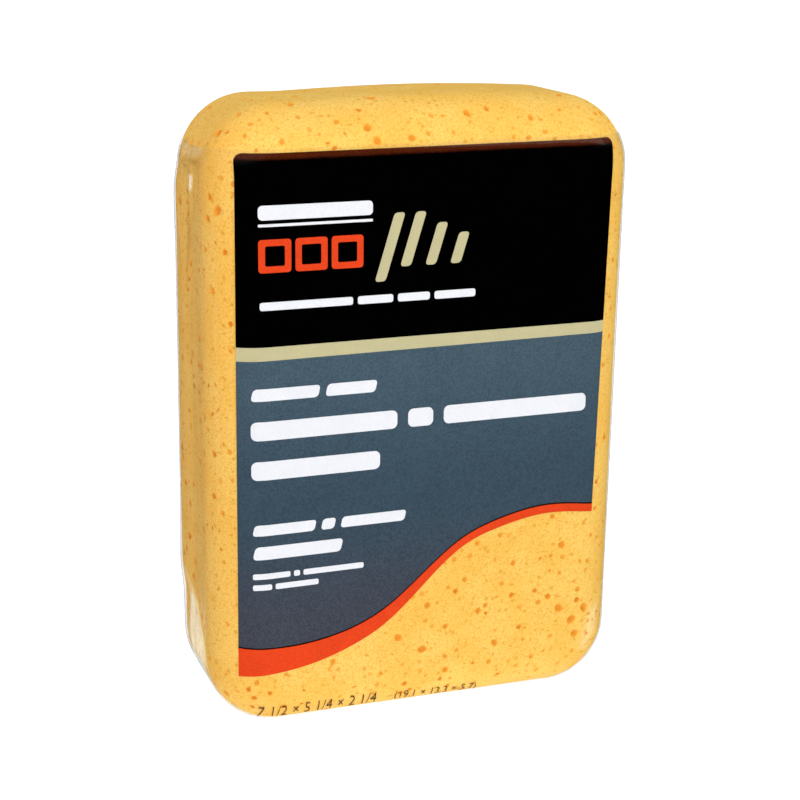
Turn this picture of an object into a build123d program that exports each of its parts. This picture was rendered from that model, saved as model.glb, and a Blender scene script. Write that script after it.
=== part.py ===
from build123d import *
import os

# Tile-grouting sponge in its shop wrapping: a foam block inside a see-through shrink sleeve
# that is printed on its inner side, front and back, so the ink lies between film and foam.
# Millimetres. +Z is up, and the printed front faces -Y with +X to its right-hand side.
# The origin is the middle of the foam's lower end, which stands on the floor.

os.makedirs("parts", exist_ok=True)

# ---------------------------------------------------------------- driving dimensions

inch = 25.4
wrapped_width = 5.25 * inch
wrapped_thickness = 2.25 * inch
height = 7.5 * inch
wrapped_corner_radius = 21.7  # outline corners, seen from the front
wrapped_edge_radius = 16.0  # roundings between the two faces and the sides

# Layers outside the foam, from the inside out: gap, ink, gap, film.
layer_gap = 0.1
ink_thickness = 0.12
film_thickness = 0.2

# The sleeve is open at both ends, and each end stops on the foam's end rounding.
sleeve_bottom = 0.25
sleeve_top = 180.0
seam_lap = 6.0  # strip down the rear right rounding where the film overlaps itself

# The print is laid out from the middle of its face, as someone facing it sees it:
# to the right, then up. Pairs of levels are at the left and the right edge.
front_left, front_right = -59.5, 57.0
back_left, back_right = -48.4, 62.8
side_lean = 1.8  # how much further in the right edge is at the wave than at the top
panel_corner = 2.5
panel_top = (82.4, 83.8)
black_foot = (27.0, 28.0)
cream_foot = (22.9, 24.4)

# The waves above and below the orange swoosh, as (share of the panel's width, level).
upper_wave = [
    (0, -66.1), (0.11, -66.7), (0.26, -64.6), (0.41, -56.9),
    (0.61, -38.2), (0.72, -32.9), (0.86, -30.0), (1, -31.4),
]
lower_wave = [
    (0, -75.3), (0.15, -74.1), (0.31, -68.6), (0.41, -61.9),
    (0.61, -41.1), (0.72, -35.7), (0.86, -32.7), (1, -34.0),
]

# Plain bars where lettering would be: (left, foot, height, leaning, lengths of the words).
white_rows = [
    (-53.1, 64.2, 4.2, False, [34.0]),
    (-53.1, 62.3, 0.8, False, [34.0]),
    (-52.9, 38.2, 2.4, False, [27.9, 10.9, 10.0, 13.0]),
    (-55.8, 11.4, 3.7, True, [20.1, 15.4]),
    (-55.8, -0.5, 5.7, False, [44.8, 8.0, 47.1]),
    (-55.8, -12.6, 5.7, False, [39.4]),
    (-55.8, -29.9, 3.4, True, [18.8, 4.1, 20.3]),
    (-55.8, -37.4, 4.1, True, [27.0]),
    (-55.8, -43.6, 1.8, False, [11.3, 1.9, 19.0]),
    (-55.8, -47.1, 1.8, False, [5.6, 13.4]),
]
word_space = 0.6  # share of the row's height
lean = 0.22  # share of the row's height
bar_rounding = 0.3  # share of the row's height, or of a stroke's width
print_tilt = 0.4  # degrees, rising to the right
print_wrap = 0.62  # how near the middle plane the print reaches, as a share of half the thickness

# A plain device above them: three open tiles, then four wiping strokes.
tile_size = 9.6
tile_line = 1.9
tile_pitch = 10.8
tile_row_middle = (-37.5, 53.9)
strokes = [(-18.4, 44.5, 20.0), (-10.6, 48.6, 15.9), (-2.8, 48.6, 12.4), (5.0, 48.6, 9.2)]
stroke_width = 3.3
stroke_lean = 0.3

# The line of sizes low on the end rounding: left, foot, height and the lengths of its items.
size_row = (-54.5, -92.2, 5.4, False, [11.4, 11.4, 11.4, 30.0])

# ---------------------------------------------------------------- worked-out values

ink_inside = layer_gap
ink_outside = ink_inside + ink_thickness
film_inside = ink_outside + layer_gap
film_outside = film_inside + film_thickness

foam_width = wrapped_width - 2 * film_outside
foam_thickness = wrapped_thickness - 2 * film_outside
foam_corner_radius = wrapped_corner_radius - film_outside
foam_edge_radius = wrapped_edge_radius - film_outside

# The print reaches around the roundings, but never as far as the sides' middles.
print_start = print_wrap * foam_thickness / 2
print_depth = foam_thickness / 2 + film_outside - print_start
middle = (0, 0, height / 2)
front = Plane(middle, x_dir=(1, 0, 0), z_dir=(0, -1, 0))
back = Plane(middle, x_dir=(-1, 0, 0), z_dir=(0, 1, 0))


def rounded_block(growth):
    """The foam block's shape, larger by the same growth on every side."""
    with BuildPart() as block:
        with BuildSketch(front):
            RectangleRounded(
                foam_width + 2 * growth,
                height + 2 * growth,
                foam_corner_radius + growth,
            )
        extrude(amount=foam_thickness / 2 + growth, both=True)
        fillet(block.faces().filter_by(Axis.Y).edges(), foam_edge_radius + growth)
    return block.part


def layer(inside, outside):
    """A closed skin around the foam, between two distances from it."""
    with BuildPart() as skin:
        add(rounded_block(outside))
        add(rounded_block(inside), mode=Mode.SUBTRACT)
    return skin.part


# ---------------------------------------------------------------- outlines of the print
# Each is drawn flat, in the face's own coordinates.


def wave_points(points, left, right):
    """A wave across a panel whose right edge has leaned in by then."""
    reach = right - side_lean - left
    return [(left + share * reach, level) for share, level in points]


def edge_ends(levels, left, right):
    """The two ends of a nearly level line across a panel with a leaning right edge."""
    drop = (panel_top[1] - levels[1]) / (panel_top[1] - upper_wave[-1][1])
    return (left, levels[0]), (right - side_lean * drop, levels[1])


def band_outline(top, foot, left, right):
    with BuildSketch() as outline:
        with BuildLine():
            Polyline(*edge_ends(top, left, right), *reversed(edge_ends(foot, left, right)), close=True)
        make_face()
    return outline.sketch


def black_outline(left, right):
    """The band at the top, with its two top corners rounded."""
    with BuildSketch() as outline:
        add(band_outline(panel_top, black_foot, left, right))
        fillet(outline.vertices().sort_by(Axis.Y)[-2:], panel_corner)
    return outline.sketch


def slate_outline(left, right):
    """From the cream band down to the upper wave."""
    points = wave_points(upper_wave, left, right)
    top_left, top_right = edge_ends(cream_foot, left, right)
    with BuildSketch() as outline:
        with BuildLine():
            Spline(*points)
            Polyline(points[-1], top_right, top_left, points[0])
        make_face()
    return outline.sketch


def swoosh_outline(left, right):
    """The stripe between the two waves."""
    upper = wave_points(upper_wave, left, right)
    lower = wave_points(lower_wave, left, right)
    with BuildSketch() as outline:
        with BuildLine():
            Spline(*upper)
            Line(upper[-1], lower[-1])
            Spline(*lower)
            Line(lower[0], upper[0])
        make_face()
    return outline.sketch


def bar(left, foot, length, bar_height, shift, rounding):
    """One rounded bar whose top is shifted to the right of its foot."""
    with BuildSketch() as outline:
        with BuildLine():
            Polyline(
                (left, foot),
                (left + length, foot),
                (left + length + shift, foot + bar_height),
                (left + shift, foot + bar_height),
                close=True,
            )
        make_face()
        fillet(outline.vertices(), rounding)
    return outline.sketch


def row_of_bars(left, foot, bar_height, leaning, words):
    """Bars side by side, one for each word."""
    shift = lean * bar_height if leaning else 0
    with BuildSketch() as row:
        for length in words:
            add(bar(left, foot, length, bar_height, shift, bar_rounding * bar_height))
            left += length + word_space * bar_height
    return row.sketch


with BuildSketch() as level_white_marks:
    for row in white_rows:
        add(row_of_bars(*row))
white_outline = level_white_marks.sketch.rotate(Axis.Z, print_tilt)

with BuildSketch() as level_tile_marks:
    with Locations(tile_row_middle):
        with GridLocations(tile_pitch, 0, 3, 1):
            RectangleRounded(tile_size, tile_size, tile_line / 2)
            inner_size = tile_size - 2 * tile_line
            RectangleRounded(inner_size, inner_size, tile_line / 4, mode=Mode.SUBTRACT)
tile_outline = level_tile_marks.sketch.rotate(Axis.Z, print_tilt)

with BuildSketch() as level_stroke_marks:
    for left, foot, stroke_height in strokes:
        shift = stroke_lean * stroke_height
        add(bar(left, foot, stroke_width, stroke_height, shift, bar_rounding * stroke_width))
stroke_outline = level_stroke_marks.sketch.rotate(Axis.Z, print_tilt)

# ---------------------------------------------------------------- foam and film

with BuildPart() as sponge_block:
    add(rounded_block(0))
sponge_block.part.label = "sponge_block"
export_step(sponge_block.part, "parts/sponge_block.step")

# The rear right rounding turns about a vertical line at this place.
rounding_x = wrapped_width / 2 - wrapped_edge_radius
rounding_y = wrapped_thickness / 2 - wrapped_edge_radius

with BuildPart() as lap:
    add(layer(film_outside, film_outside + film_thickness))
    with BuildSketch(Plane((rounding_x, rounding_y, 0))):
        with Locations(Rotation(0, 0, 45)):
            Rectangle(2 * wrapped_edge_radius, seam_lap, align=(Align.MIN, Align.CENTER))
    extrude(amount=height, mode=Mode.INTERSECT)

with BuildPart() as film_sleeve:
    add(layer(film_inside, film_outside))
    add(lap.part)
    split(bisect_by=Plane.XY.offset(sleeve_top), keep=Keep.BOTTOM)
    split(bisect_by=Plane.XY.offset(sleeve_bottom), keep=Keep.TOP)
film_sleeve.part.label = "film_sleeve"
export_step(film_sleeve.part, "parts/film_sleeve.step")

# ---------------------------------------------------------------- inks

ink_layer = layer(ink_inside, ink_outside)


def write_ink(name, face, outline, left_clear=()):
    """One ink, carried from its flat outline straight back onto the rounded ink layer."""
    with BuildPart() as ink:
        with BuildSketch(face.offset(print_start)):
            add(outline)
            for other in left_clear:
                add(other, mode=Mode.SUBTRACT)
        extrude(amount=print_depth)
        add(ink_layer, mode=Mode.INTERSECT)
    ink.part.label = name
    export_step(ink.part, f"parts/{name}.step")


# The two panels have the same layout, and only the front one is crossed by marks.
marks = (white_outline, tile_outline, stroke_outline)
for side, face, left, right, on_panel in (
    ("front", front, front_left, front_right, marks),
    ("back", back, back_left, back_right, ()),
):
    cream = band_outline(black_foot, cream_foot, left, right)
    write_ink(f"{side}_black_panel", face, black_outline(left, right), on_panel)
    write_ink(f"{side}_cream_band", face, cream)
    write_ink(f"{side}_slate_panel", face, slate_outline(left, right), on_panel)
    write_ink(f"{side}_orange_swoosh", face, swoosh_outline(left, right))

write_ink("white_marks", front, white_outline)
write_ink("orange_tile_marks", front, tile_outline)
write_ink("cream_stroke_marks", front, stroke_outline)
write_ink("size_marks", front, row_of_bars(*size_row))
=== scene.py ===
from math import ceil, cos, hypot, pi, radians, sin, sqrt

import bmesh
import bpy
import numpy as np
from mathutils import Matrix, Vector
from mathutils.kdtree import KDTree
from numpy.linalg import norm


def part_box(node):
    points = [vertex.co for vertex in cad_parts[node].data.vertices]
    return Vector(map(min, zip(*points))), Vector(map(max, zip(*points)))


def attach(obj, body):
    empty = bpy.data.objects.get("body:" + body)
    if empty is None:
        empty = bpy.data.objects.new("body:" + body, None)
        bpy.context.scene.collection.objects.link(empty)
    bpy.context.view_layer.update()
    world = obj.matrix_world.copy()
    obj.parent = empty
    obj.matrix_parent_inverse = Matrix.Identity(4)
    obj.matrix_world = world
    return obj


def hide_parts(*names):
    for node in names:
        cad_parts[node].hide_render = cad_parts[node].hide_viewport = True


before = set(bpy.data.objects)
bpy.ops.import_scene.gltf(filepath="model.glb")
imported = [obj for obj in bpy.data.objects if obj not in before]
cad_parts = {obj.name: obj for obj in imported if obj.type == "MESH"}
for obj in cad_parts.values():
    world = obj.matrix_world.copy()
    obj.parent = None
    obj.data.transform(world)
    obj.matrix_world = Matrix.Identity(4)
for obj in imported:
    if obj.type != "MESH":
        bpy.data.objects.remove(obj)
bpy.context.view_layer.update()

# A grouting sponge in a clear printed shrink sleeve, standing on its lower end.
# Shapes are worked out in millimetres about the block's middle, with -Y to the front,
# and piece() turns them into metres in the shared frame.

mm = 0.001

# ---- sizes from the frame

foam_low, foam_high = (np.array(corner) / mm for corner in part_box("sponge_block"))
middle = (foam_low + foam_high) / 2
half_size = (foam_high - foam_low) / 2

# The foam is everything within edge_radius of a thin flat plate with rounded corners.
corner_radius = 21.18
edge_radius = 15.48
plate_half = half_size - edge_radius
plate_corner = corner_radius - edge_radius

# The print goes round the roundings no further than print_reach from the plate's outline.
print_wrap = 0.62  # how near the middle plane it comes, as a share of half the thickness
print_start = print_wrap * half_size[1]
print_reach = sqrt(edge_radius**2 - (print_start - plate_half[1]) ** 2)

# Heights of the layers above the foam's plain surface.
ink_lift = 0.26
mark_lift = 0.31
film_lift = 0.42
ink_thickness = 0.03
film_thickness = 0.05

# ---- the print, as in the CAD model

front_left, front_right = -59.5, 57.0
back_left, back_right = -48.4, 62.8
side_lean = 1.8
panel_corner = 2.5
panel_top = (82.4, 83.8)
black_foot = (27.0, 28.0)
cream_foot = (22.9, 24.4)
upper_wave = [
    (0, -66.1), (0.11, -66.7), (0.26, -64.6), (0.41, -56.9),
    (0.61, -38.2), (0.72, -32.9), (0.86, -30.0), (1, -31.4),
]
lower_wave = [
    (0, -75.3), (0.15, -74.1), (0.31, -68.6), (0.41, -61.9),
    (0.61, -41.1), (0.72, -35.7), (0.86, -32.7), (1, -34.0),
]
keyline_width = 0.4

# Plain bars where lettering would be: (left, foot, height, leaning, lengths of the words).
white_rows = [
    (-53.1, 64.2, 4.2, False, [34.0]),
    (-53.1, 62.3, 0.8, False, [34.0]),
    (-52.9, 38.2, 2.4, False, [27.9, 10.9, 10.0, 13.0]),
    (-55.8, 11.4, 3.7, True, [20.1, 15.4]),
    (-55.8, -0.5, 5.7, False, [44.8, 8.0, 47.1]),
    (-55.8, -12.6, 5.7, False, [39.4]),
    (-55.8, -29.9, 3.4, True, [18.8, 4.1, 20.3]),
    (-55.8, -37.4, 4.1, True, [27.0]),
    (-55.8, -43.6, 1.8, False, [11.3, 1.9, 19.0]),
    (-55.8, -47.1, 1.8, False, [5.6, 13.4]),
]
word_space = 0.6  # share of the row's height
lean = 0.22  # share of the row's height
bar_rounding = 0.3  # share of the row's height, or of a stroke's width
print_tilt = radians(0.4)

tile_size = 9.6
tile_line = 1.9
tile_pitch = 10.8
tile_row_middle = (-37.5, 53.9)
strokes = [(-18.4, 44.5, 20.0), (-10.6, 48.6, 15.9), (-2.8, 48.6, 12.4), (5.0, 48.6, 9.2)]
stroke_width = 3.3
stroke_lean = 0.3

# The sizes low on the end rounding: (text, left, foot, height, length, right end's rise).
size_texts = [
    ("7 1/2 × 5 1/4 × 2 1/4", -53.4, -91.6, 5.0, 38.2, 0.3),
    ("(19.1 × 13.3 × 5.7)", -9.0, -92.0, 4.6, 28.0, -1.2),
]

# ---- the block's surface


def nearest_in_plate(points):
    """The nearest point of the flat plate inside the foam, for each point."""
    found = points.copy()
    found[:, 1] = np.clip(points[:, 1], -plate_half[1], plate_half[1])
    flat = points[:, [0, 2]]
    straight = plate_half[[0, 2]] - plate_corner
    inner = np.clip(flat, -straight, straight)
    out = flat - inner
    length = np.maximum(norm(out, axis=1, keepdims=True), 1e-9)
    found[:, [0, 2]] = inner + out * np.minimum(1, plate_corner / length)
    return found


def surface(points, lift=0.0):
    """Points moved straight onto the block's surface or this far above it, and the normals."""
    core = nearest_in_plate(points)
    normals = points - core
    normals /= norm(normals, axis=1, keepdims=True)
    reach = edge_radius + np.broadcast_to(lift, len(points))[:, None]
    return core + normals * reach, normals


def on_face(x, level, side):
    """Points of the surface straight behind places of the front (side -1) or back (side 1) face."""
    points = np.stack([x, np.zeros_like(x), level], axis=1)
    core = nearest_in_plate(points)
    away = norm(points - core, axis=1)
    allowed = np.minimum(away, print_reach)
    points = core + (points - core) * (allowed / np.maximum(away, 1e-9))[:, None]
    points[:, 1] = side * (plate_half[1] + np.sqrt(edge_radius**2 - allowed**2))
    return points


def way_round(points):
    """How far each point is round the block from the front's middle, positive to the right."""
    core = nearest_in_plate(points)
    normals = points - core
    turn = np.abs(np.arctan2(normals[:, 0], -normals[:, 1]))
    across = np.abs(core[:, 0])
    across = np.where(turn > pi / 2, 2 * plate_half[0] - across, across)
    side = np.where(np.abs(normals[:, 0]) > 1e-6, normals[:, 0], core[:, 0])
    return np.sign(side) * (across + edge_radius * turn + core[:, 1] + plate_half[1])


side_middle = plate_half[0] + edge_radius * pi / 2 + plate_half[1]
half_round = 2 * plate_half[0] + edge_radius * pi + 2 * plate_half[1]

# ---- how the film lies


def smooth_step(low, high, value):
    share = np.clip((value - low) / (high - low), 0, 1)
    return share * share * (3 - 2 * share)


def crease(place, level, path, width, height):
    """A ridge along a path of (way round, level) points, which fades towards both ends."""
    best = np.full(len(place), 1e9)
    share = np.zeros(len(place))
    for index, (start, end) in enumerate(zip(path, path[1:])):
        start = np.array(start)
        along = np.array(end) - start
        offset = np.stack([place, level], axis=1) - start
        step = np.clip(offset @ along / (along @ along), 0, 1)
        away = norm(offset - step[:, None] * along, axis=1)
        nearer = away < best
        best = np.where(nearer, away, best)
        share = np.where(nearer, (index + step) / (len(path) - 1), share)
    fade = np.sin(pi * np.clip(share, 0.03, 0.97)) ** 0.5
    return height * fade * np.exp(-((best / width) ** 2))


def swelling(place, level, centre, reach, height):
    """A soft oval rise where the film stands off the foam."""
    across = (place - centre[0]) / reach[0]
    upward = (level - centre[1]) / reach[1]
    return height * np.exp(-(across**2 + upward**2))


# Creases: (path of (way round, level), width, height).
creases = [
    ([(-101, 77.6), (-92, 76.6), (-82.3, 73.9)], 0.9, 0.55),
    ([(-99.6, 77.3), (-84, 77.6), (-67.9, 76.7)], 0.8, 0.4),
    ([(-84.2, 75), (-85, 68), (-87.3, 52), (-88.6, 36)], 1.3, 0.5),
    ([(-99.2, 70), (-97.6, 60), (-95, 49)], 0.9, 0.4),
    ([(-90, -54), (-84.2, -61), (-75.5, -72)], 1.8, 0.25),
    ([(84, 80), (87, 66), (86, 48)], 1.2, 0.45),
    ([(100, 78), (94, 74), (80, 75)], 0.9, 0.45),
    ([(97, -58), (88, -68), (77, -77)], 1.5, 0.5),
]
# Places where the film stands off: (middle, reach, height).
swellings = [
    ((-105.5, 61.5), (5, 8), 0.25),
    ((-104, -58), (5, 16), 0.3),
    ((104, 60), (5, 12), 0.2),
    ((104, -60), (5, 14), 0.4),
]
# Folds too fine to be shaped, which only darken what is behind them: (path, width, strength).
shadow_lines = [
    ([(-92.3, 77.7), (-85, 77.6), (-78, 77.9), (-72.1, 77)], 0.45, 0.3),
    ([(-97, 76.8), (-91.1, 75.4), (-83.5, 73.8)], 0.45, 0.35),
    ([(-86.5, 66.5), (-86, 58), (-87.2, 46)], 0.9, 0.4),
    ([(-88, 84), (-86.6, 80), (-85.4, 77.5)], 0.45, 0.2),
]
# Painted glare, glints and sheen where the crumpled film catches the light, added as pale colour:
# (convex outline that turns left, strength, softness).
painted_glare_places = [
    ([(-94.8, 77.6), (-85.6, 78.6), (-90.7, 81.6), (-100.2, 80.4)], 0.06, 0.9),
    ([(-84.5, 78.7), (-74, 80.7), (-75.7, 82.7), (-88.6, 81.1)], 0.06, 1.2),
    ([(-86.3, 68.3), (-83.8, 69.3), (-82.3, 73.6), (-87.2, 72.9)], 0.24, 0.7),
    ([(-80, -81.5), (-75, -76), (-76, -70.5), (-84.2, -59.5), (-88.5, -57.5),
      (-92.5, -59.1), (-95.2, -69.3), (-96, -75), (-90, -81)], 0.18, 1.5),
    ([(53.5, -80.5), (56, -81), (59.3, -75), (60, -67), (57.5, -67), (55.2, -74)],
     0.07, 2.2),
]
# Where the foam bows out: its place round the block, and the levels over which it starts and ends.
bulge_height = 1.0
bulge_place = -104.0
bulge_reach = 14.0
bulge_foot = (-64, -50)
bulge_top = (67, 77)
ripple_height = 0.1
ripple_length = 8.7
ripple_reach = 17
pucker_height = 0.085
pucker_levels = (62, 80)
pucker_places = [(71, 20), (120, 22)]  # way round, and reach


def painted_glare_strength(place, level):
    """How strong the painted glare on the film is, at each place round the block and level."""
    found = np.zeros(len(place))
    for outline, strength, softness in painted_glare_places:
        depth = np.full(len(place), 1e9)
        for start, end in zip(outline, outline[1:] + outline[:1]):
            along, up = np.subtract(end, start)
            inside = (along * (level - start[1]) - up * (place - start[0])) / hypot(along, up)
            depth = np.minimum(depth, inside)
        found = np.maximum(found, strength * smooth_step(-softness, softness, depth))
    return found


def shadows(place, level):
    """How much darker it is through the film along its shadowed creases."""
    found = np.zeros(len(place))
    for line in shadow_lines:
        found = np.maximum(found, crease(place, level, *line))
    return found


def side_ripples(place, level):
    """Soft upright ripples down the narrow sides, where nothing holds the film flat.

    They drift and fade at odd lengths, so that no two look the same.
    """
    from_side = (np.abs(place) - side_middle) / ripple_reach
    strength = np.exp(-(from_side**4))
    phase = 2 * pi * place / ripple_length
    drift = 2.1 * np.sin(level / 31 + np.sign(place)) + 0.7 * np.sin(level / 12)
    fading = 0.55 + 0.45 * np.sin(level / 19 + place / 7)
    return ripple_height * strength * fading * (0.5 + 0.5 * np.sin(phase + drift))


def end_puckers(place, level):
    """Short uneven gathers round the upper and lower corners, where the sleeve is drawn in."""
    near_end = smooth_step(*pucker_levels, np.abs(level))
    at_corner = sum(
        np.exp(-(((np.abs(place) - corner) / reach) ** 2)) for corner, reach in pucker_places
    )
    wave = np.sin(place * 1.15 + 1.3 * np.sin(level / 7)) + 0.6 * np.sin(place * 0.62 + 2.1)
    return pucker_height * near_end * at_corner * (1 + 0.6 * wave)


def side_bulge(place, level):
    """How far the foam bows out down its rear left rounding, and the film with it."""
    across = np.exp(-(((place - bulge_place) / bulge_reach) ** 4))
    ending = 1 - smooth_step(*bulge_top, level)
    return bulge_height * across * smooth_step(*bulge_foot, level) * ending


def film_rise(place, level):
    """How far the film stands off its plain height, at each place round the block and level."""
    rise = side_ripples(place, level) + end_puckers(place, level) + side_bulge(place, level)
    for one in creases:
        rise = rise + crease(place, level, *one)
    for one in swellings:
        rise = rise + swelling(place, level, *one)
    return rise


def lifted(points, lift):
    """Points on the block moved to a layer's height, following the film where it stands off."""
    rise = film_rise(way_round(points), points[:, 2])
    return surface(points, lift + rise)[0]


# ---- pieces

crisp_angle = radians(50)


def new_object(name, data):
    """An object in the scene that holds a mesh, a curve, a light or a camera."""
    made = bpy.data.objects.new(name, data)
    bpy.context.scene.collection.objects.link(made)
    return made


def thicken(made, thickness):
    """Turns a one-sided mesh into a closed shell that grows inwards, with crisp edges."""
    shell = made.modifiers.new("thickness", "SOLIDIFY")
    shell.thickness = thickness * mm
    shell.offset = -1
    bpy.context.view_layer.update()
    graph = bpy.context.evaluated_depsgraph_get()
    closed = bpy.data.meshes.new_from_object(made.evaluated_get(graph))
    made.modifiers.clear()
    made.data = closed
    closed.set_sharp_from_angle(angle=crisp_angle)


def piece(name, points, faces, material, replaces=(), thickness=0.0, values=()):
    """A piece on the one body, from points in millimetres about the block's middle."""
    mesh = bpy.data.meshes.new(name)
    mesh.from_pydata(((points + middle) * mm).tolist(), [], faces)
    mesh.materials.append(material)
    mesh.shade_smooth()
    for value_name, numbers in dict(values).items():
        layer = mesh.attributes.new(value_name, "FLOAT", "POINT")
        layer.data.foreach_set("value", numbers.astype(np.float32))
    made = new_object(name, mesh)
    if thickness:
        thicken(made, thickness)
    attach(made, "root")
    if replaces:
        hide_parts(*replaces)
    return made


def grid_faces(columns, rows, first=0):
    """Faces of a grid whose points run up each column in turn, seen from outside."""
    faces = []
    for column in range(columns - 1):
        for row in range(rows - 1):
            corner = first + column * rows + row
            faces.append((corner, corner + rows, corner + rows + 1, corner + 1))
    return faces


def flat_patch(bottom, top, spacing):
    """A grid between two edges with matching points: its flat places and its faces."""
    deepest = norm(top - bottom, axis=1).max()
    shares = np.linspace(0, 1, max(2, ceil(deepest / spacing) + 1))
    places = bottom[:, None] + (top - bottom)[:, None] * shares[None, :, None]
    return places.reshape(-1, 2), grid_faces(len(bottom), len(shares))


def printed(name, patches, side, lift, ink, replaces=()):
    """Flat patches of one ink, carried onto the front (side -1) or back (side 1) of the block."""
    points, faces = [], []
    for places, patch_faces in patches:
        first = sum(len(group) for group in points)
        on_block = on_face(-side * places[:, 0], places[:, 1], side)
        points.append(lifted(on_block, lift))
        faces += [tuple(first + corner for corner in face) for face in patch_faces]
    return piece(name, np.concatenate(points), faces, inks[ink], replaces, ink_thickness)


# ---- materials

# Colours are linear. The light on the front makes them about a tenth brighter.
foam_colour = (0.92, 0.56, 0.118)
foam_pale = (0.94, 0.62, 0.155)
foam_speck = (0.74, 0.36, 0.035)
# Painted shade in the pores, deepest in their middles.
pore_shade_colour = (0.84, 0.36, 0.040)
pore_deep_shade = (0.74, 0.24, 0.020)
black_colour = (0.0006, 0.0004, 0.0004)
# The brown along the black panels' top edge is partly thin ink and partly a painted highlight where
# the rolled edge catches the light.
rim_highlight_colour = (0.088, 0.015, 0.004)
rim_highlight_speck = tuple(0.6 * part for part in rim_highlight_colour)
film_colour = (0.985, 0.985, 0.985)
painted_glare_colour = (0.34, 0.74, 1.0)
fold_shadow = (0.70, 0.62, 0.50)
face_gloss = 0.022
edge_gloss = 0.3
pore_outline = (0.5, 1.3)  # over which a pore fades out, in its radii
rim_highlight_band = (-1.9, -0.7)  # levels from its top edge over which the black ink turns to a brown band: thin ink and a painted highlight
ink_roughness = (0.45, 0.55)

# The other inks: (colours, unevenness, grain). Slate has three: its middle colour, a lighter top and
# a greyer foot.
ink_looks = {
    "cream_ink": ([(0.54, 0.50, 0.29)], 0.03, 0.02),
    "slate_ink": ([(0.042, 0.071, 0.099), (0.060, 0.098, 0.130), (0.053, 0.060, 0.080)], 0.05, 0.13),
    "orange_ink": ([(0.74, 0.062, 0.015)], 0.05, 0.05),
    "white_ink": ([(0.80, 0.82, 0.86)], 0.02, 0.02),
    "brown_ink": ([(0.11, 0.028, 0.004)], 0.1, 0.2),
}

# Levels above the floor over which the slate ink gets lighter towards its top and greyer towards its
# foot.
lighter_top = (middle[2] - 25, middle[2] + 25)
greyer_foot = (middle[2] - 62, middle[2] - 22)


class Nodes:
    """The node tree of a material or the world, with short ways to add and join nodes."""

    def __init__(self, owner, output="OutputMaterial"):
        self.owner = owner
        owner.use_nodes = True
        self.tree = owner.node_tree
        self.tree.nodes.clear()
        self.output = self.add(output)

    def add(self, kind, settings=(), **inputs):
        """A shader node with these settings and inputs, each a value or another node's output."""
        node = self.tree.nodes.new("ShaderNode" + kind)
        for key, value in dict(settings).items():
            setattr(node, key, value)
        for key, value in inputs.items():
            self.put(node.inputs[key.replace("_", " ")], value)
        return node

    def put(self, socket, value):
        if isinstance(value, bpy.types.NodeSocket):
            self.tree.links.new(value, socket)
        elif socket.type == "RGBA":
            socket.default_value = (*value, 1)
        else:
            socket.default_value = value

    def millimetres(self):
        """The place on the object, in millimetres."""
        return self.scaled(self.add("TexCoord").outputs["Object"], 1 / mm)

    def scaled(self, vector, scale):
        node = self.add("VectorMath", {"operation": "SCALE"}, Vector=vector, Scale=scale)
        return node.outputs["Vector"]

    def compared(self, operation, first, second):
        """One number from two vectors."""
        node = self.add("VectorMath", {"operation": operation}, Vector=first)
        self.put(node.inputs[1], second)
        return node.outputs["Value"]

    def maths(self, operation, first, second=0.0, third=0.0):
        node = self.add("Math", {"operation": operation})
        for socket, value in zip(node.inputs, (first, second, third)):
            self.put(socket, value)
        return node.outputs[0]

    def between(self, value, low, high, to_low=0.0, to_high=1.0):
        """Value taken smoothly from the range low to high onto another range."""
        node = self.add("MapRange", {"interpolation_type": "SMOOTHSTEP"})
        for socket, number in zip(node.inputs, (value, low, high, to_low, to_high)):
            self.put(socket, number)
        return node.outputs[0]

    def noise(self, place, scale, detail=3.0, roughness=0.55):
        """Cloudy noise from 0 to 1, whose scale counts clouds in a millimetre."""
        node = self.add("TexNoise", Vector=place, Scale=scale, Detail=detail)
        self.put(node.inputs["Roughness"], roughness)
        return node.outputs["Fac"]

    def value_at(self, name):
        """One of the values kept at the piece's points."""
        return self.add("Attribute", {"attribute_name": name}).outputs["Fac"]

    def mix(self, share, first, second):
        """A colour between two."""
        node = self.add("Mix", {"data_type": "RGBA"})
        self.put(node.inputs[0], share)
        self.put(node.inputs[6], first)
        self.put(node.inputs[7], second)
        return node.outputs[2]

    def bump(self, height, distance, strength):
        node = self.add("Bump", Height=height, Distance=distance * mm, Strength=strength)
        return node.outputs[0]

    def join(self, kind, first, second, **inputs):
        """Two shaders mixed or added."""
        node = self.add(kind, **inputs)
        self.put(node.inputs[-2], first.outputs[0])
        self.put(node.inputs[-1], second.outputs[0])
        return node

    def surface(self, shader):
        self.put(self.output.inputs[0], shader.outputs[0])
        return self.owner


def material_nodes(name):
    return Nodes(bpy.data.materials.new(name))


def specks(nodes, place, scale, largest):
    """Round specks of many sizes, one in some of the cells of this scale."""
    cells = nodes.add("TexVoronoi", Vector=place, Scale=scale)
    chance = nodes.add("SeparateColor", Color=cells.outputs["Color"])
    size = nodes.between(chance.outputs[0], 0.35, 1.0, 0.0, largest)
    inside = nodes.maths("SUBTRACT", size, cells.outputs["Distance"])
    return nodes.between(inside, 0.0, 0.16)


def pore_mask(nodes, place):
    """How far inside a pore each place is, with slightly uneven outlines."""
    uneven = nodes.maths("MULTIPLY_ADD", nodes.noise(place, 0.9, 2.0), 0.5, -0.25)
    distance = nodes.maths("ADD", nodes.value_at("pore_distance"), uneven)
    outline = nodes.between(distance, *pore_outline, 1.0, 0.0)
    return nodes.maths("MULTIPLY", outline, nodes.value_at("pore_strength"))


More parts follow.
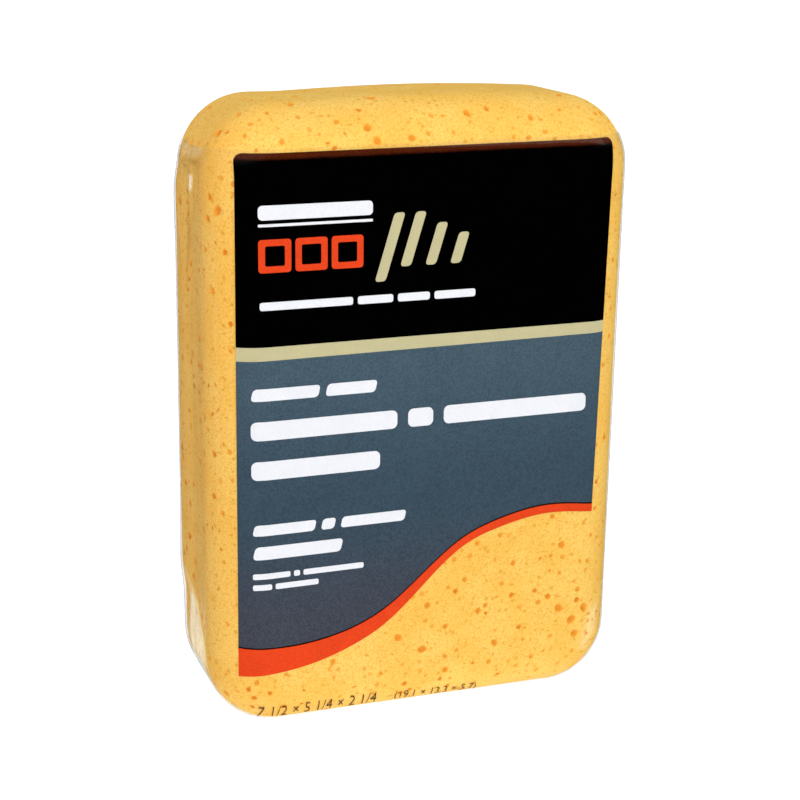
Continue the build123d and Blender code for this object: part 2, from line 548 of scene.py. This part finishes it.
def foam_material():
    """Open-cell foam: a pale cloudy ground, a fine dark grain, specks, then painted shade in the
    pores.
    """
    nodes = material_nodes("foam")
    place = nodes.millimetres()
    pore = pore_mask(nodes, place)
    cloud = nodes.between(nodes.noise(place, 0.07, 2.0), 0.35, 0.65)
    grain = nodes.noise(place, 1.9, 3.0, 0.75)
    dark_grain = nodes.between(grain, 0.36, 0.56, 0.62, 0.0)
    small = specks(nodes, place, 0.45, 0.36)
    tiny = specks(nodes, place, 1.0, 0.5)
    colour = nodes.mix(cloud, foam_colour, foam_pale)
    colour = nodes.mix(dark_grain, colour, foam_speck)
    colour = nodes.mix(nodes.maths("MULTIPLY", tiny, 0.4), colour, foam_speck)
    colour = nodes.mix(nodes.maths("MULTIPLY", small, 0.65), colour, foam_speck)
    # Painted shade in the pores, darker towards their middles.
    colour = nodes.mix(nodes.between(pore, 0.0, 0.7, 0.0, 0.95), colour, pore_shade_colour)
    colour = nodes.mix(nodes.between(pore, 0.7, 1.05), colour, pore_deep_shade)
    hollow = nodes.maths("MULTIPLY_ADD", small, -0.8, nodes.maths("MULTIPLY", tiny, -0.35))
    height = nodes.maths("ADD", hollow, nodes.maths("MULTIPLY", grain, 0.7))
    shader = nodes.add(
        "BsdfPrincipled",
        Base_Color=colour,
        Roughness=0.92,
        Normal=nodes.bump(height, 0.16, 0.55),
        Subsurface_Weight=0.25,
        Subsurface_Radius=(1.0, 0.45, 0.15),
        Subsurface_Scale=1.6 * mm,
        Specular_IOR_Level=0.05,
    )
    return nodes.surface(shader)


def film_material():
    """Clear film, seen by its gloss, which grows towards the edges, its folds, and the painted
    glare, glints and sheen added where it is crumpled.
    """
    nodes = material_nodes("clear_film")
    place = nodes.millimetres()
    stretch = nodes.add("Mapping", Vector=place, Scale=(1.0, 1.0, 0.25))
    waves = nodes.noise(stretch.outputs[0], 0.16, 2.0)
    normal = nodes.bump(waves, 0.4, 0.3)
    facing = nodes.add("LayerWeight", Blend=0.5, Normal=normal).outputs["Facing"]
    gloss = nodes.maths("MULTIPLY_ADD", nodes.maths("POWER", facing, 5.0), edge_gloss, face_gloss)
    shine = nodes.add("BsdfGlossy", Color=(1, 1, 1), Roughness=0.09, Normal=normal)
    tint = nodes.mix(nodes.value_at("shadow"), film_colour, fold_shadow)
    clear = nodes.add("BsdfTransparent", Color=tint)
    film = nodes.join("MixShader", clear, shine, Fac=gloss)
    # Painted glare, glints and sheen: pale colour added on top of the clear film.
    painted_glare = nodes.mix(nodes.value_at("painted_glare"), (0.0, 0.0, 0.0), painted_glare_colour)
    painted_glare_shader = nodes.add("BsdfDiffuse", Color=painted_glare)
    return nodes.surface(nodes.join("AddShader", film, painted_glare_shader))


def ink_material(name, colours, unevenness, grain):
    """Printed ink: a little uneven, with a fine dot grain, of one colour, or for slate lighter
    towards the top and greyer towards the foot.
    """
    nodes = material_nodes(name)
    place = nodes.millimetres()
    cloud = nodes.between(nodes.noise(place, 0.12, 3.0), 0.3, 0.7)
    fine = nodes.noise(place, 1.6, 3.0, 0.7)
    shade = colours[0]
    if len(colours) > 1:
        level = nodes.add("SeparateXYZ", Vector=place).outputs[2]
        shade = nodes.mix(nodes.between(level, *lighter_top), shade, colours[1])
        shade = nodes.mix(nodes.between(level, *greyer_foot), colours[2], shade)
    dots = nodes.between(fine, 0.36, 0.64, 1 - grain, 1 + 1.6 * grain)
    dots = nodes.maths("MULTIPLY", dots, nodes.between(cloud, 0.0, 1.0, 1.0, 1 - unevenness))
    shader = nodes.add(
        "BsdfPrincipled",
        Base_Color=nodes.scaled(shade, dots),
        Roughness=nodes.between(cloud, 0.0, 1.0, *ink_roughness),
        Normal=nodes.bump(fine, 0.02, 0.3),
        Specular_IOR_Level=0.0,
    )
    return nodes.surface(shader)


def black_ink_material():
    """Black ink, with a brown band along the panels' rolled-over top edge: the ink thin there, and a
    painted highlight where the curved edge catches the light.
    """
    nodes = material_nodes("black_ink")
    place = nodes.millimetres()
    x, y, z = nodes.add("SeparateXYZ", Vector=place).outputs
    slope = (panel_top[1] - panel_top[0]) / (front_right - front_left)
    edge = middle[2] + (panel_top[0] + panel_top[1]) / 2
    to_left = nodes.maths("MULTIPLY", x, nodes.maths("SIGN", y))
    tilt = nodes.maths("MULTIPLY", to_left, slope)
    above = nodes.maths("SUBTRACT", nodes.maths("ADD", z, tilt), edge)
    uneven = nodes.maths("MULTIPLY", nodes.noise(place, 0.35, 2.0), 0.5)
    # Painted highlight, with thin ink: a brown band along the rolled-over top edge.
    rim = nodes.between(nodes.maths("ADD", above, uneven), *rim_highlight_band)
    fine = nodes.noise(place, 2.0, 2.0)
    speckled_rim_highlight = nodes.mix(nodes.between(fine, 0.3, 0.7), rim_highlight_speck, rim_highlight_colour)
    shader = nodes.add(
        "BsdfPrincipled",
        Base_Color=nodes.mix(rim, black_colour, speckled_rim_highlight),
        Roughness=nodes.between(fine, 0.0, 1.0, 0.45, 0.6),
        Specular_IOR_Level=0.0,
    )
    return nodes.surface(shader)


inks = {name: ink_material(name, *look) for name, look in ink_looks.items()}
inks["black_ink"] = black_ink_material()

# ---- print

panel_spacing = 1.6
edge_spacing = 1.0
bar_spacing = 2.0
corner_points = 6
tile_points = 5  # round each corner and along each side
figure_weight = -0.012
figure_lean = -0.2
figure_strips = 11


def curve_levels(points, shares):
    """Levels of a smooth curve through (share, level) points: a natural cubic spline.

    It is a straight line plus weighted cubes of the distances from its points, and the last two
    rows of the system keep it straight at its ends.
    """
    knots, levels = np.array(points, float).T
    line = np.stack([np.ones_like(knots), knots])
    cubes = np.abs(knots[:, None] - knots) ** 3
    system = np.block([[cubes, line.T], [line, np.zeros((2, 2))]])
    *weights, start, slope = np.linalg.solve(system, [*levels, 0, 0])
    return start + slope * shares + np.abs(shares[:, None] - knots) ** 3 @ weights


def level_edge(levels, left, right, shares):
    """A nearly level line across a panel whose right edge leans in further down."""
    drop = (panel_top[1] - levels[1]) / (panel_top[1] - upper_wave[-1][1])
    x = left + (right - side_lean * drop - left) * shares
    return np.stack([x, levels[0] + (levels[1] - levels[0]) * shares], axis=1)


def wave_edge(wave, left, right, shares):
    """A wave across a panel, by then with its right edge fully leaned in."""
    x = left + (right - side_lean - left) * shares
    return np.stack([x, curve_levels(wave, shares)], axis=1)


def corner_drop(from_end, radius):
    """How far a rounded corner falls below the straight edge, this far from its end."""
    inside = np.clip(radius - from_end, 0, radius)
    return radius - np.sqrt(radius**2 - inside**2)


def rounded_shares(length, radius, spacing):
    """Shares of a length, closer together over the rounded corners at its ends."""
    corner = radius * (1 - np.cos(np.linspace(0, pi / 2, corner_points))) / length
    rest = np.linspace(corner[-1], 1 - corner[-1], max(2, ceil(length / spacing)))
    return np.unique(np.round(np.concatenate([corner, rest, 1 - corner]), 6))


def black_patch(left, right):
    """The band at the top, with its two top corners rounded."""
    shares = rounded_shares(right - left, panel_corner, edge_spacing)
    top = level_edge(panel_top, left, right, shares)
    top[:, 1] -= corner_drop(np.minimum(top[:, 0] - left, right - top[:, 0]), panel_corner)
    return flat_patch(level_edge(black_foot, left, right, shares), top, panel_spacing)


def panel_parts(left, right):
    """A panel's inks from the top down, as name: (patch, ink)."""
    shares = np.linspace(0, 1, ceil((right - left) / edge_spacing) + 1)
    black_edge = level_edge(black_foot, left, right, shares)
    cream_edge = level_edge(cream_foot, left, right, shares)
    slate_edge = wave_edge(upper_wave, left, right, shares)
    swoosh_edge = wave_edge(lower_wave, left, right, shares)
    return {
        "black_panel": (black_patch(left, right), "black_ink"),
        "cream_band": (flat_patch(cream_edge, black_edge, panel_spacing), "cream_ink"),
        "slate_panel": (flat_patch(slate_edge, cream_edge, panel_spacing), "slate_ink"),
        "orange_swoosh": (flat_patch(swoosh_edge, slate_edge, panel_spacing), "orange_ink"),
    }


def keyline_patch(left, right):
    """The thin black line along the wave under the slate ink."""
    shares = np.linspace(0, 1, ceil((right - left) / edge_spacing) + 1)
    lower = wave_edge(upper_wave, left, right, shares)
    return flat_patch(lower, lower + (0, keyline_width), panel_spacing)


def tilted(patch):
    """A patch turned with the print, which was laid out slightly askew."""
    places, faces = patch
    cosine, sine = cos(print_tilt), sin(print_tilt)
    return places @ np.array([[cosine, sine], [-sine, cosine]]), faces


def bar_patch(left, foot, length, height, slope, radius):
    """One rounded bar, whose top leans to the right by this slope."""
    shares = rounded_shares(length, radius, bar_spacing)
    x = length * shares
    drop = corner_drop(np.minimum(x, length - x), radius)
    bottom = np.stack([left + x + slope * drop, foot + drop], axis=1)
    top = np.stack([left + x + slope * (height - drop), foot + height - drop], axis=1)
    return tilted(flat_patch(bottom, top, bar_spacing))


def row_patches(left, foot, height, leaning, words):
    """Bars side by side, one for each word."""
    patches = []
    for length in words:
        patches.append(bar_patch(left, foot, length, height, lean * leaning, bar_rounding * height))
        left += length + word_space * height
    return patches


def rounded_square(size, radius, centre):
    """The outline of a square with rounded corners, as points all the way round."""
    straight = size / 2 - radius
    bend = np.linspace(0, pi / 2, tile_points)
    side_steps = np.linspace(-straight, straight, tile_points + 2)[1:-1]
    corner = straight + radius * np.stack([np.cos(bend), np.sin(bend)], axis=1)
    along_top = np.stack([-side_steps, np.full_like(side_steps, size / 2)], axis=1)
    quarter = np.concatenate([corner, along_top])
    turn = np.array([[0, 1], [-1, 0]])
    quarters = [quarter @ np.linalg.matrix_power(turn, count) for count in range(4)]
    return np.concatenate(quarters) + centre


def tile_patch(centre):
    """One open square."""
    outer = rounded_square(tile_size, tile_line / 2, centre)
    inner = rounded_square(tile_size - 2 * tile_line, tile_line / 4, centre)
    count = len(outer)
    faces = [(i, (i + 1) % count, count + (i + 1) % count, count + i) for i in range(count)]
    return tilted((np.concatenate([outer, inner]), faces))


def build_panels():
    """The four inks of the front panel, and the same layout again on the back."""
    for side_name, side, left, right in (
        ("front", -1, front_left, front_right),
        ("back", 1, back_left, back_right),
    ):
        for part_name, (patch, ink) in panel_parts(left, right).items():
            node = f"{side_name}_{part_name}"
            printed(f"{node}_print", [patch], side, ink_lift, ink, [node])
        keyline = keyline_patch(left, right)
        printed(f"{side_name}_keyline_print", [keyline], side, mark_lift, "black_ink")


def build_marks():
    """Plain bars for the lettering, and above them three open tiles and four wiping strokes."""
    white = [patch for row in white_rows for patch in row_patches(*row)]
    printed("white_marks_print", white, -1, mark_lift, "white_ink", ["white_marks"])
    x, level = tile_row_middle
    tiles = [tile_patch((x + offset, level)) for offset in (-tile_pitch, 0, tile_pitch)]
    printed("tile_marks_print", tiles, -1, mark_lift, "orange_ink", ["orange_tile_marks"])
    wipes = [
        bar_patch(left, foot, stroke_width, height, stroke_lean, bar_rounding * stroke_width)
        for left, foot, height in strokes
    ]
    printed("stroke_marks_print", wipes, -1, mark_lift, "cream_ink", ["cream_stroke_marks"])


def text_mesh(text):
    """A flat mesh of a line of figures."""
    curve = bpy.data.curves.new("figures", "FONT")
    curve.body = text
    curve.resolution_u = 3
    curve.offset = figure_weight
    curve.shear = figure_lean
    holder = new_object("figures", curve)
    bpy.context.view_layer.update()
    mesh = bpy.data.meshes.new_from_object(holder)
    bpy.data.objects.remove(holder)
    return mesh


def text_patch(text, left, foot, height, length, rise):
    """Flat places and faces of a line of figures, cut into narrow strips so that it can bend."""
    cut = bmesh.new()
    cut.from_mesh(text_mesh(text))
    bmesh.ops.remove_doubles(cut, verts=cut.verts, dist=1e-5)
    co = np.array([vert.co[:2] for vert in cut.verts])
    low, high = co.min(axis=0), co.max(axis=0)
    for level in np.linspace(low[1], high[1], figure_strips + 1)[1:-1]:
        everything = cut.verts[:] + cut.edges[:] + cut.faces[:]
        bmesh.ops.bisect_plane(cut, geom=everything, plane_co=(0, level, 0), plane_no=(0, 1, 0))
    cut.verts.index_update()
    co = np.array([vert.co[:2] for vert in cut.verts])
    along, up = ((co - low) / (high - low)).T
    places = np.stack([left + along * length, foot + up * height + along * rise], axis=1)
    faces = [tuple(vert.index for vert in face.verts) for face in cut.faces]
    cut.free()
    return places, faces


def build_figures():
    patches = [text_patch(*line) for line in size_texts]
    printed("size_marks_print", patches, -1, mark_lift, "brown_ink", ["size_marks"])


# ---- foam

foam_spacing = 1.9
pore_seed = 7
pore_count = 1300
pore_tries = 4  # for each pore that is wanted
pore_gap = 0.9
smallest_pore = 0.62
pore_spread = 0.75
pore_rarity = 2.2  # the higher, the fewer large pores
faintest_pore = 0.35
front_pore_limit = 0.95
front_from = 0.55  # how far out the front starts, as a share of the edge radius
printed_from = 0.3  # the same for what the print covers
pore_overlap = 1.0  # how far pores run in under the print's edges
swoosh_depth = 3.0
top_strip = 3.0
top_left_out = 0.6  # share of the pores left out on the top
pore_depth = 0.62  # share of the radius
pore_wall = (0.25, 1.0)
pore_stretch = 1.25
refined_reach = 1.45  # in radii
refined_margin = 0.35  # in edge lengths
dug_reach = 2.4  # in radii
far_from_pores = 2.5  # in radii
odd_direction = (0.31, 0.57, 0.76)  # what a pore's length is turned from
undulation = 0.09
crown_height = 1.6
crown_middle = 9.0
crown_reach = 46.0
crown_power = 1.25
crown_slope = (0.4, 0.95)  # upward part of the normals over which the crown starts

# The pores that stand out, on the front and its roundings: (across, level, diameter).
chosen_pores = [
    (45, -65.5, 3.0), (54, -66.5, 3.0), (49.5, -70, 3.0), (51, -75, 2.6), (45, -44, 2.6),
    (41, -61, 2.2), (28.5, -59, 2.2), (17, -63, 2.2), (0, -59, 2.4), (23, -74.5, 2.4),
    (-1.5, -73.5, 2.8), (6.5, -81.5, 2.2), (-9.5, -68.5, 2.6), (-30.5, -73.5, 2.0),
    (-54.5, -77.5, 2.0), (-63.5, 66, 2.9), (-65, 69.5, 2.2), (-20.5, 88.5, 2.6),
    (-18, 85, 2.6), (-7.5, 85.5, 2.2), (10.5, 91, 2.4),
]
chosen_strength = 0.85


def axis_steps(half):
    """Places along one axis of a box: even over the plate, then even in angle to the edge."""
    flat = np.linspace(-half, half, 2 * ceil(half / foam_spacing) + 1)
    turns = np.linspace(0, pi / 4, ceil(edge_radius * pi / 4 / foam_spacing) + 1)[1:]
    rounding = half + edge_radius * np.tan(turns)
    return np.concatenate([-rounding[::-1], flat, rounding])


def foam_grid():
    """Points and faces of the block's six sides as a grid, with doubled points along the edges."""
    points, faces = [], []
    for axis in range(3):
        first, second = (axis + 1) % 3, (axis + 2) % 3
        across, up = axis_steps(plate_half[first]), axis_steps(plate_half[second])
        for sign in (-1, 1):
            block = np.empty((len(across), len(up), 3))
            block[..., axis] = sign * (plate_half[axis] + edge_radius)
            block[..., first] = across[:, None]
            block[..., second] = up[None, :]
            start = sum(len(group) for group in points)
            found = grid_faces(len(across), len(up), start)
            points.append(block.reshape(-1, 3))
            faces += found if sign > 0 else [face[::-1] for face in found]
    return surface(np.concatenate(points))[0], faces


def behind_print(points):
    """Whether each point lies well under a solid panel, where no pore shows."""
    x, level, front = points[:, 0], points[:, 2], points[:, 1] < 0
    left = np.where(front, front_left, -back_right)
    right = np.where(front, front_right - side_lean, -back_left)
    share = np.clip((x - left) / (right - left), 0, 1)
    share = np.where(front, share, 1 - share)
    foot = curve_levels(upper_wave, share)
    facing_out = np.abs(points[:, 1]) > plate_half[1] + printed_from * edge_radius
    across = (x > left + pore_overlap) & (x < right - pore_overlap)
    upward = (level > foot - swoosh_depth) & (level < panel_top[0] - pore_overlap)
    return facing_out & across & upward


def random_places(random, points, faces, count):
    """Places spread evenly over the block's surface."""
    corners = points[np.array(faces)]
    diagonals = corners[:, 2] - corners[:, 0], corners[:, 3] - corners[:, 1]
    areas = norm(np.cross(*diagonals), axis=1)
    picked = corners[random.choice(len(faces), count, p=areas / areas.sum())]
    across, up = random.random((count, 2, 1)).swapaxes(0, 1)
    lower = picked[:, 0] * (1 - across) + picked[:, 1] * across
    upper = picked[:, 3] * (1 - across) + picked[:, 2] * across
    return surface(lower * (1 - up) + upper * up)[0]


def scatter_pores(points, faces):
    """Pores as (centres, radii, strengths): the chosen ones, then random ones that keep apart.

    The random ones are smaller on the front, where the large ones were chosen.
    """
    random = np.random.default_rng(pore_seed)
    tried = random_places(random, points, faces, pore_tries * pore_count)
    on_top = tried[:, 2] > half_size[2] - top_strip
    left_out = on_top & (random.random(len(tried)) < top_left_out)
    tried = tried[~behind_print(tried) & ~left_out]
    sizes = smallest_pore + pore_spread * random.random(len(tried)) ** pore_rarity
    in_front = tried[:, 1] < -plate_half[1] - front_from * edge_radius
    sizes = np.where(in_front, np.minimum(sizes, front_pore_limit), sizes)
    softness = random.uniform(faintest_pore, 1.0, len(tried))
    chosen = np.array(chosen_pores)
    centres = list(on_face(chosen[:, 0], chosen[:, 1], -1))
    radii = list(chosen[:, 2] / 2)
    strengths = [chosen_strength] * len(chosen)
    for centre, radius, strength in zip(tried, sizes, softness):
        gaps = norm(np.array(centres) - centre, axis=1) - np.array(radii) - radius
        if gaps.min() > pore_gap:
            centres.append(centre)
            radii.append(radius)
            strengths.append(strength)
        if len(centres) >= pore_count:
            break
    return np.array(centres), np.array(radii), np.array(strengths)


def tree_of(points):
    tree = KDTree(len(points))
    for index, point in enumerate(points):
        tree.insert(point, index)
    tree.balance()
    return tree


def refine(mesh, tree, radii, spacing):
    """Cuts the edges that lie over pores in half."""
    reach = radii * refined_reach
    margin = spacing * refined_margin
    for vert in mesh.verts:
        near = tree.find_range(vert.co, reach.max() + spacing)
        vert.tag = any(gap < reach[index] + margin for _, index, gap in near)
    over = [edge for edge in mesh.edges if edge.verts[0].tag and edge.verts[1].tag]
    bmesh.ops.subdivide_edges(mesh, edges=over, cuts=1, use_grid_fill=True)


def dig_pores(points, normals, centres, radii, strengths):
    """How deep each point sinks into a pore, and for its nearest pore how far and how strong.

    How far is from the pore's middle, as a share of its radius.
    """
    random = np.random.default_rng(pore_seed + 1)
    tree = tree_of(points)
    depth = np.zeros(len(points))
    nearest = np.full(len(points), far_from_pores)
    strength = np.zeros(len(points))
    for centre, radius, softness in zip(centres, radii, strengths):
        stretch = random.uniform(1.0, pore_stretch)
        tilt = random.uniform(0, pi)
        found = np.array([index for _, index, _ in tree.find_range(centre, radius * dug_reach)])
        normal = normals[found].mean(axis=0)
        aside = np.cross(normal, odd_direction)
        aside /= norm(aside)
        along = cos(tilt) * aside + sin(tilt) * np.cross(normal, aside)
        offset = (points[found] - centre) / radius
        across = offset @ along / stretch
        up = offset @ np.cross(normal, along) * sqrt(stretch)
        away = np.hypot(across, up)
        well = 1 - smooth_step(*pore_wall, away)
        depth[found] = np.maximum(depth[found], softness * pore_depth * radius * well)
        nearer = away < nearest[found]
        nearest[found[nearer]] = away[nearer]
        strength[found[nearer]] = softness
    return depth, nearest, strength


def waviness(points):
    """A slow, shallow unevenness of the foam's faces, at odd lengths, fading near the floor."""
    x, y, z = points.T
    above_floor = smooth_step(0, 8, z + half_size[2])
    wave = np.sin(x / 17 + 1.3) * np.sin(z / 23 + 0.4) + 0.6 * np.sin(y / 11 + z / 31)
    return undulation * wave * above_floor


def crown(points, normals):
    """How far the bare top end rises towards its middle."""
    share = np.clip(1 - ((points[:, 0] - crown_middle) / crown_reach) ** 2, 0, 1)
    return crown_height * share**crown_power * smooth_step(*crown_slope, normals[:, 2])


def build_foam():
    points, faces = foam_grid()
    centres, radii, strengths = scatter_pores(points, faces)
    mesh = bmesh.new()
    verts = [mesh.verts.new(point) for point in points]
    for face in faces:
        mesh.faces.new([verts[corner] for corner in face])
    bmesh.ops.remove_doubles(mesh, verts=mesh.verts, dist=0.01)
    tree = tree_of(centres)
    for halving in range(3):
        refine(mesh, tree, radii, foam_spacing / 2**halving)
    mesh.verts.index_update()
    cut_points, normals = surface(np.array([vert.co for vert in mesh.verts]))
    cut_faces = [tuple(vert.index for vert in face.verts) for face in mesh.faces]
    mesh.free()
    depth, nearest, strength = dig_pores(cut_points, normals, centres, radii, strengths)
    rise = waviness(cut_points) + crown(cut_points, normals)
    rise += side_bulge(way_round(cut_points), cut_points[:, 2])
    shaped = cut_points + normals * (rise - depth)[:, None]
    pores = {"pore_distance": nearest, "pore_strength": strength}
    skin = foam_material()
    foam = piece("foam_block", shaped, cut_faces, skin, ["sponge_block"], values=pores)


# ---- film

film_spacing = 1.9
fine_spacing = 0.9
creased_places = (58, 112)
row_spacing = 1.25
seam_lap = 6.0
seam_rise = 0.18
seam_slope = 3.0
seam_place = plate_half[0] + edge_radius * 0.75 * pi + 2 * plate_half[1]
march_step = 0.6
march_reach = half_size[2] + 16.0  # further than any way from mid-height to a hem

# The upper hem's level, as (way round, level), from the back's middle round the front.
hem_levels = [
    (-176.7, 84), (-118, 84.2), (-108, 82.6), (-101.6, 79.6), (-97, 82.6), (-92, 81.3),
    (-80, 81.9), (-66, 83.2), (-50, 83.5), (50, 84.8), (66, 84.2), (90, 83),
    (104, 84.1), (176.7, 84),
]
hem_wobble = 0.12
foot_gap = 1.0  # from the floor to the lower hem
foot_wobble = 0.15


def outline_place(place):
    """The point at mid-height this far round the block."""
    side = np.sign(place)
    far = np.abs(place)
    quarter = edge_radius * pi / 2
    ends = np.cumsum([0, plate_half[0], quarter, 2 * plate_half[1], quarter, plate_half[0]])
    turn = np.clip((far - ends[1]) / edge_radius, 0, pi / 2)
    turn = turn + np.clip((far - ends[3]) / edge_radius, 0, pi / 2)
    x = np.minimum(far, ends[1]) - np.maximum(far - ends[4], 0) + edge_radius * np.sin(turn)
    y = np.clip(far - ends[2], 0, 2 * plate_half[1]) - plate_half[1] - edge_radius * np.cos(turn)
    return np.stack([side * x, y, 0 * far], axis=1)


def climb(starts, direction):
    """Tracks straight up or down the surface from mid-height, one for each start."""
    points = surface(starts)[0]
    track = [points]
    for _ in range(int(march_reach / march_step)):
        normals = surface(points)[1]
        upward = np.array([0, 0, direction]) - normals * (normals[:, 2:] * direction)
        length = np.maximum(norm(upward, axis=1, keepdims=True), 1e-6)
        points = surface(points + march_step * upward / length)[0]
        track.append(points)
    return np.stack(track, axis=1)


def cut_track(track, end_level, shares):
    """Points at these shares of a track's length, which ends where it reaches a level."""
    beyond = np.abs(track[:, 2]) >= abs(end_level)
    last = int(np.argmax(beyond)) if beyond.any() else len(track) - 1
    before, after = abs(track[last - 1, 2]), abs(track[last, 2])
    end = last - 1 + (abs(end_level) - before) / max(after - before, 1e-9)
    at = shares * end
    index = np.arange(len(track))
    return np.stack([np.interp(at, index, track[:, axis]) for axis in range(3)], axis=1)


def from_front(place):
    """The same place, counted the shorter way from the front's middle."""
    return (place + half_round) % (2 * half_round) - half_round


def film_columns():
    """Places round the block for the film's columns: closer where the film is creased."""
    start, end = seam_place - 2 * half_round, seam_place + seam_lap
    places = [start]
    while places[-1] < end:
        creased = creased_places[0] < abs(from_front(places[-1])) < creased_places[1]
        places.append(places[-1] + (fine_spacing if creased else film_spacing))
    places[-1] = end
    return np.array(places)


def build_film():
    places = film_columns()
    wrapped = from_front(places)
    starts = outline_place(wrapped)
    hem = np.interp(wrapped, *np.array(hem_levels).T) + hem_wobble * np.sin(wrapped / 3.1)
    foot = -(half_size[2] - foot_gap) + foot_wobble * np.sin(wrapped / 4.3)
    shares = np.linspace(0, 1, ceil(half_size[2] / row_spacing))
    columns = [
        np.concatenate([cut_track(down, low, shares)[:0:-1], cut_track(up, high, shares)])
        for down, low, up, high in zip(climb(starts, -1), foot, climb(starts, 1), hem)
    ]
    rows = len(columns[0])
    points = surface(np.concatenate(columns))[0]
    place, level = np.repeat(wrapped, rows), points[:, 2]
    lapped = smooth_step(seam_place - seam_slope, seam_place, np.repeat(places, rows))
    shaped = surface(points, film_lift + seam_rise * lapped + film_rise(place, level))[0]
    faces = grid_faces(len(places), rows)
    marks = {"painted_glare": painted_glare_strength(place, level), "shadow": shadows(place, level)}
    skin = film_material()
    piece(
        "film_sleeve_skin", shaped, faces, skin, ["film_sleeve"], film_thickness, marks
    )


# ---- stage, lights and camera

camera_place = (-0.1837, -0.4964, 0.24565)
camera_azimuth = -20.329
camera_elevation = 15.908
camera_roll = 0.989
camera_lens = 78.64

floor_radius = 9.0
floor_sides = 96
floor_greys = (0.24, 0.26)
floor_glow = 1.08
# The floor glows more close in front of the object.
front_glow = 0.35
glow_middle = (0.0, -75.0, 0.0)
glow_reach = (30.0, 130.0)


def toward(azimuth, elevation):
    """A direction from the block. Azimuth 0 is in front, 90 to the right."""
    turn, rise = radians(azimuth), radians(elevation)
    return (cos(rise) * sin(turn), -cos(rise) * cos(turn), sin(rise))


def facing(azimuth, elevation, roll=0.0):
    """The turn of a camera or a light that looks back at the block from this direction."""
    turn = Matrix.Rotation(radians(azimuth), 4, "Z")
    tilt = Matrix.Rotation(radians(90 - elevation), 4, "X")
    return turn @ tilt @ Matrix.Rotation(radians(roll), 4, "Z")


def build_camera():
    data = bpy.data.cameras.new("camera")
    data.lens = camera_lens
    camera = new_object("camera", data)
    turn = facing(camera_azimuth, camera_elevation, camera_roll)
    camera.matrix_world = Matrix.Translation(camera_place) @ turn
    bpy.context.scene.camera = camera


def floor_material():
    """White paper that glows, so that it is even and white from every side."""
    nodes = material_nodes("studio_floor")
    place = nodes.millimetres()
    darker, paler = ((grey, grey, grey) for grey in floor_greys)
    paper = nodes.add("BsdfDiffuse", Color=nodes.mix(nodes.noise(place, 0.02), darker, paler))
    away = nodes.compared("DISTANCE", place, glow_middle)
    strength = nodes.between(away, *glow_reach, floor_glow + front_glow, floor_glow)
    glow = nodes.add("Emission", Color=(1.0, 1.0, 1.0), Strength=strength)
    return nodes.surface(nodes.join("AddShader", paper, glow))


def build_floor():
    """A white studio floor. Gloss doesn't see it, so that the dark print stays dark."""
    angles = np.linspace(0, 2 * pi, floor_sides, endpoint=False)
    rim = [(floor_radius * cos(a), floor_radius * sin(a), 0) for a in angles]
    mesh = bpy.data.meshes.new("studio_floor")
    mesh.from_pydata(rim, [], [tuple(range(len(rim)))])
    mesh.materials.append(floor_material())
    floor = new_object("studio_floor", mesh)
    floor.visible_glossy = False


# Bright patches low in the room, which only gloss sees: (azimuth, elevation, radius, radiance).
low_windows = [(-165, -27.5, 6, 0.5), (-104, -16, 5, 0.5), (70, -25, 4, 1.2)]


def window_light(nodes, direction, azimuth, elevation, radius, radiance):
    """How bright one round window is in each direction."""
    near = nodes.compared("DOT_PRODUCT", direction, toward(azimuth, elevation))
    edge = cos(radians(radius))
    return nodes.between(near, edge, (1 + edge) / 2, 0.0, radiance)


def build_world():
    """A pale room: brighter to the right and behind, dark below, with a few low windows."""
    nodes = Nodes(bpy.data.worlds.new("studio"), "OutputWorld")
    direction = nodes.add("TexCoord").outputs["Generated"]
    to_right, to_back, upward = nodes.add("SeparateXYZ", Vector=direction).outputs
    from_right = nodes.between(to_right, -0.9, 0.7, 0.08, 0.3)
    sky = nodes.maths("ADD", from_right, nodes.between(to_back, -0.6, 0.6, 0.1, 0.35))
    ground = nodes.between(to_back, -0.2, 0.7, 0.0, 0.08)
    above = nodes.between(upward, 0.15, 0.45)
    below = nodes.maths("SUBTRACT", 1.0, above)
    light = nodes.maths("MULTIPLY", sky, above)
    light = nodes.maths("ADD", light, nodes.maths("MULTIPLY", ground, below))
    light = nodes.maths("ADD", light, nodes.between(upward, -0.62, -0.95, 0.0, 0.15))
    for low_window in low_windows:
        light = nodes.maths("ADD", light, window_light(nodes, direction, *low_window))
    shader = nodes.add("Background", Color=(1.0, 1.0, 1.0), Strength=light)
    bpy.context.scene.world = nodes.surface(shader)


def softbox(name, azimuth, elevation, distance, size, radiance, colour=(1, 1, 1), in_gloss=False):
    """A soft light that faces the block's middle."""
    data = bpy.data.lights.new(name, "AREA")
    data.shape = "RECTANGLE"
    data.size, data.size_y = size
    data.energy = radiance * pi * size[0] * size[1]
    data.color = colour
    light = new_object(name, data)
    light.visible_glossy = in_gloss
    light.visible_camera = False
    place = middle * mm + distance * np.array(toward(azimuth, elevation))
    light.matrix_world = Matrix.Translation(place.tolist()) @ facing(azimuth, elevation)


def build_lights():
    softbox("key_light", -7, 38, 1.2, (0.9, 0.7), 4.95)
    softbox("left_light", -82, 12, 1.2, (0.9, 0.7), 0.6, (1.0, 0.2, 0.15))
    softbox("upper_left_light", -60, 58, 1.2, (0.6, 0.6), 1.0)
    softbox("rim_light", 42, 20, 1.3, (0.95, 0.14), 0.8, (1.0, 0.85, 0.75), in_gloss=True)


# ---- the scene

build_camera()
build_world()
build_lights()
build_floor()
build_foam()
build_panels()
build_marks()
build_figures()
build_film()

bpy.context.scene.view_settings.view_transform = "Standard"
